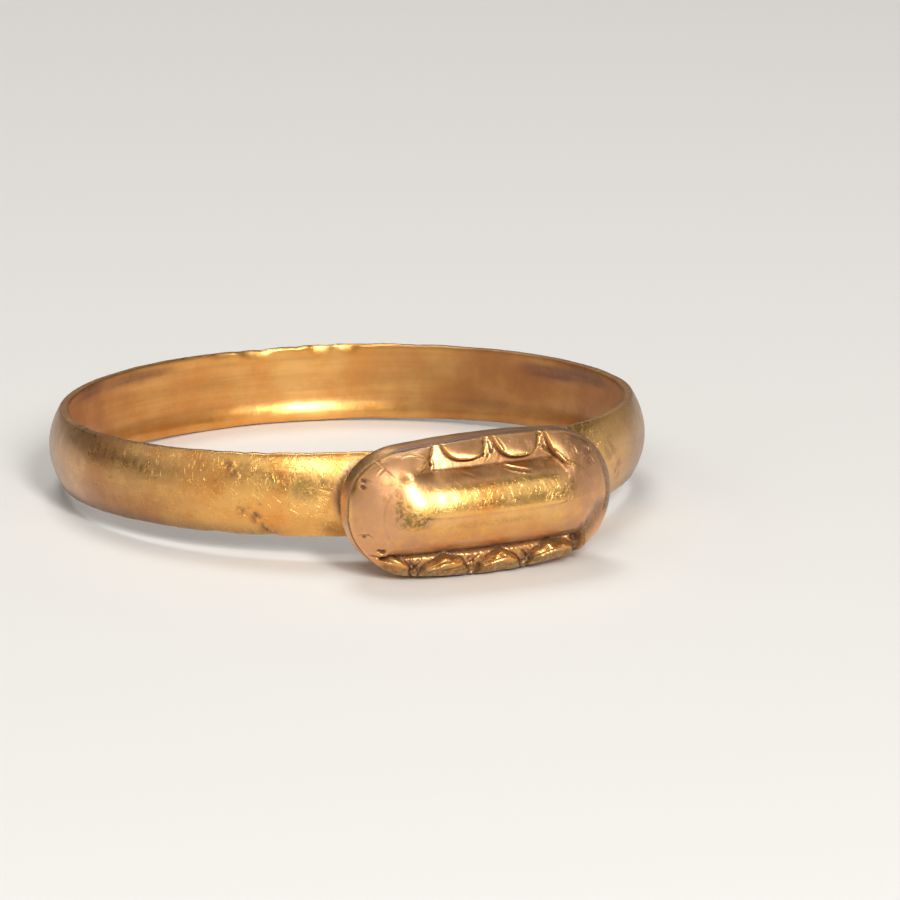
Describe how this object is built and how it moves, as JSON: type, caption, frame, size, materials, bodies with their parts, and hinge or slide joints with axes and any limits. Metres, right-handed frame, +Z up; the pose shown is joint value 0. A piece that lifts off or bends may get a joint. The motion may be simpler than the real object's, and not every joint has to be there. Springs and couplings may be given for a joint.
{
  "type": "gold finger ring with chased oval bezel",
  "caption": "Gold finger ring: thin D-section hoop and a long oval bezel with a round-topped loaf between two rows of chased lobes.",
  "frame": {"origin": "on the surface that the ring lies on, below the middle of its bounding box", "axes": "+Z up, close to the finger's axis; -Y towards the bezel; +X along the bezel"},
  "size_m": [0.0194, 0.0226, 0.0044],
  "materials": {
    "gold": "worn high-carat gold, softly polished"
  },
  "bodies": {
    "root": {"finger_ring": "gold"}
  },
  "joints": []
}
